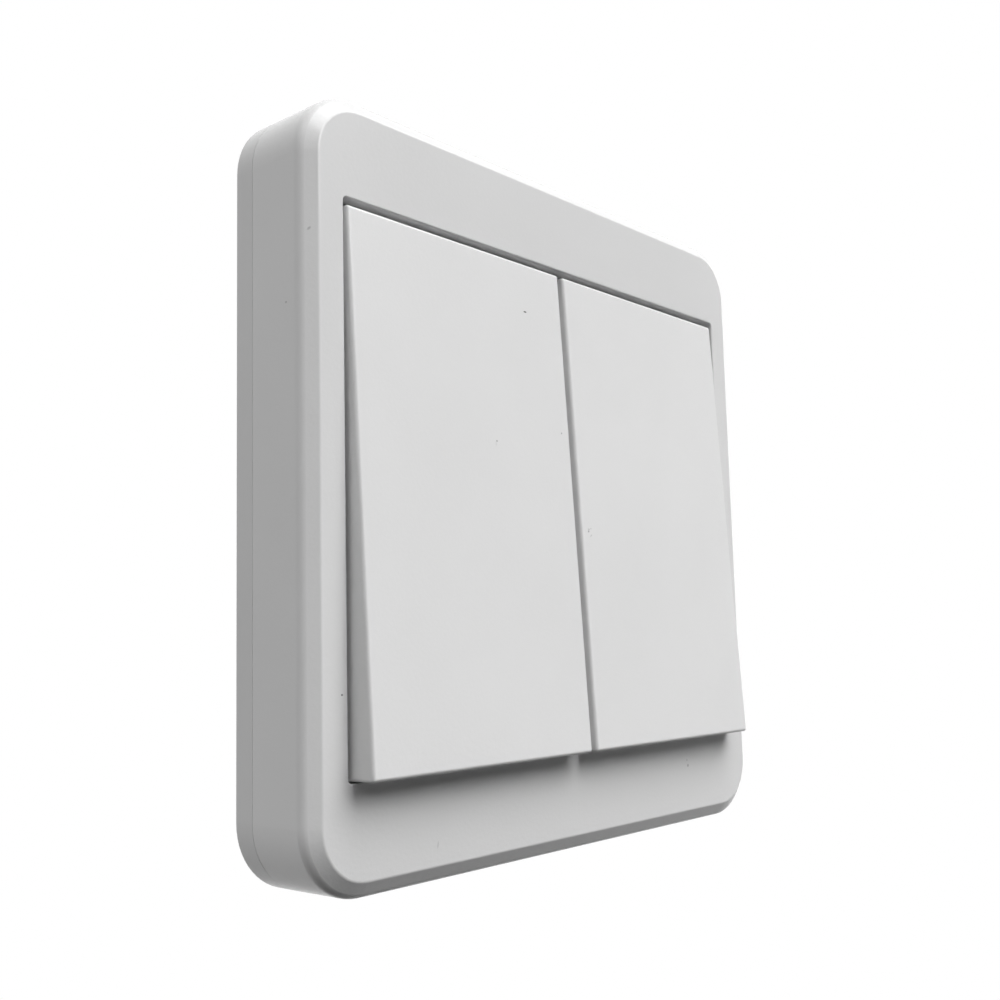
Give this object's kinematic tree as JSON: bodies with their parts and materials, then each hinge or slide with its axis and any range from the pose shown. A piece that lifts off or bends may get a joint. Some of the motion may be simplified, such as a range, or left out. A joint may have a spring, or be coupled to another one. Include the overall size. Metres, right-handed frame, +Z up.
{
  "type": "wireless remote wall switch",
  "caption": "Square wall-mounted radio switch: bevelled white frame, sloping press keys hinged at the top, screwed-on base plate with circuit board and cell inside.",
  "frame": {"origin": "centre of the back face, on the wall", "axes": "+Z up the wall, +X to the right seen from the front, +Y into the wall; the keys face -Y"},
  "size_m": [0.086, 0.0152, 0.086],
  "materials": {
    "frame_white_abs": "fine satin moulded white",
    "base_white_abs": "fine satin moulded white",
    "key_white_abs": "fine satin moulded white",
    "board_laminate": "green solder mask",
    "zinc_screws": "zinc plated",
    "cell_jacket": "dark printed jacket, left bare",
    "nickel_contacts": "nickel plated spring strip",
    "black_epoxy": "moulded epoxy",
    "tinned_leads": "tin plated",
    "resonator_ceramic": "dark fired ceramic",
    "lid_metal": "gold-flashed lid",
    "copper_strap": "bare copper strap",
    "resistor_ceramic": "dark glazed ceramic",
    "capacitor_ceramic": "tan ceramic",
    "switch_plastic": "black moulded housing",
    "switch_steel": "stamped steel",
    "plunger_plastic": "black moulded button"
  },
  "bodies": {
    "housing": {"front_frame": "frame_white_abs", "base_plate": "base_white_abs", "circuit_board": "board_laminate", "board_screws": "zinc_screws", "battery": "cell_jacket", "positive_contact": "nickel_contacts", "negative_contact": "nickel_contacts", "encoder_chip": "black_epoxy", "radio_transistor": "black_epoxy", "encoder_leads": "tinned_leads", "transistor_leads": "tinned_leads", "resonator": "resonator_ceramic", "resonator_lid": "lid_metal", "antenna_strap": "copper_strap", "chip_resistors": "resistor_ceramic", "chip_capacitors": "capacitor_ceramic", "left_switch_body": "switch_plastic", "left_switch_cover": "switch_steel", "left_switch_dome": "switch_steel", "left_switch_terminals": "tinned_leads", "right_switch_body": "switch_plastic", "right_switch_cover": "switch_steel", "right_switch_dome": "switch_steel", "right_switch_terminals": "tinned_leads"},
    "left_key": {"left_key": "key_white_abs"},
    "right_key": {"right_key": "key_white_abs"},
    "left_plunger": {"left_switch_plunger": "plunger_plastic"},
    "right_plunger": {"right_switch_plunger": "plunger_plastic"}
  },
  "joints": [
    {"name": "left_key_press", "type": "hinge", "parent": "housing", "child": "left_key", "pos_m": [-0.01887, -0.008, 0.0334], "axis": [1, 0, 0], "range_deg": [0, 1.07], "stiffness_Nm_per_rad": 0.5, "springref_deg": -1.72},
    {"name": "left_plunger_travel", "type": "slide", "parent": "housing", "child": "left_plunger", "axis": [0, 1, 0], "range_m": [0, 0.00031]},
    {"name": "right_key_press", "type": "hinge", "parent": "housing", "child": "right_key", "pos_m": [0.01887, -0.008, 0.0334], "axis": [1, 0, 0], "range_deg": [0, 1.07], "stiffness_Nm_per_rad": 0.5, "springref_deg": -1.72},
    {"name": "right_plunger_travel", "type": "slide", "parent": "housing", "child": "right_plunger", "axis": [0, 1, 0], "range_m": [0, 0.00031]}
  ],
  "couplings": [
    {"joint": "left_plunger_travel", "follows": "left_key_press", "m_per_rad": 0.016},
    {"joint": "right_plunger_travel", "follows": "right_key_press", "m_per_rad": 0.016}
  ]
}
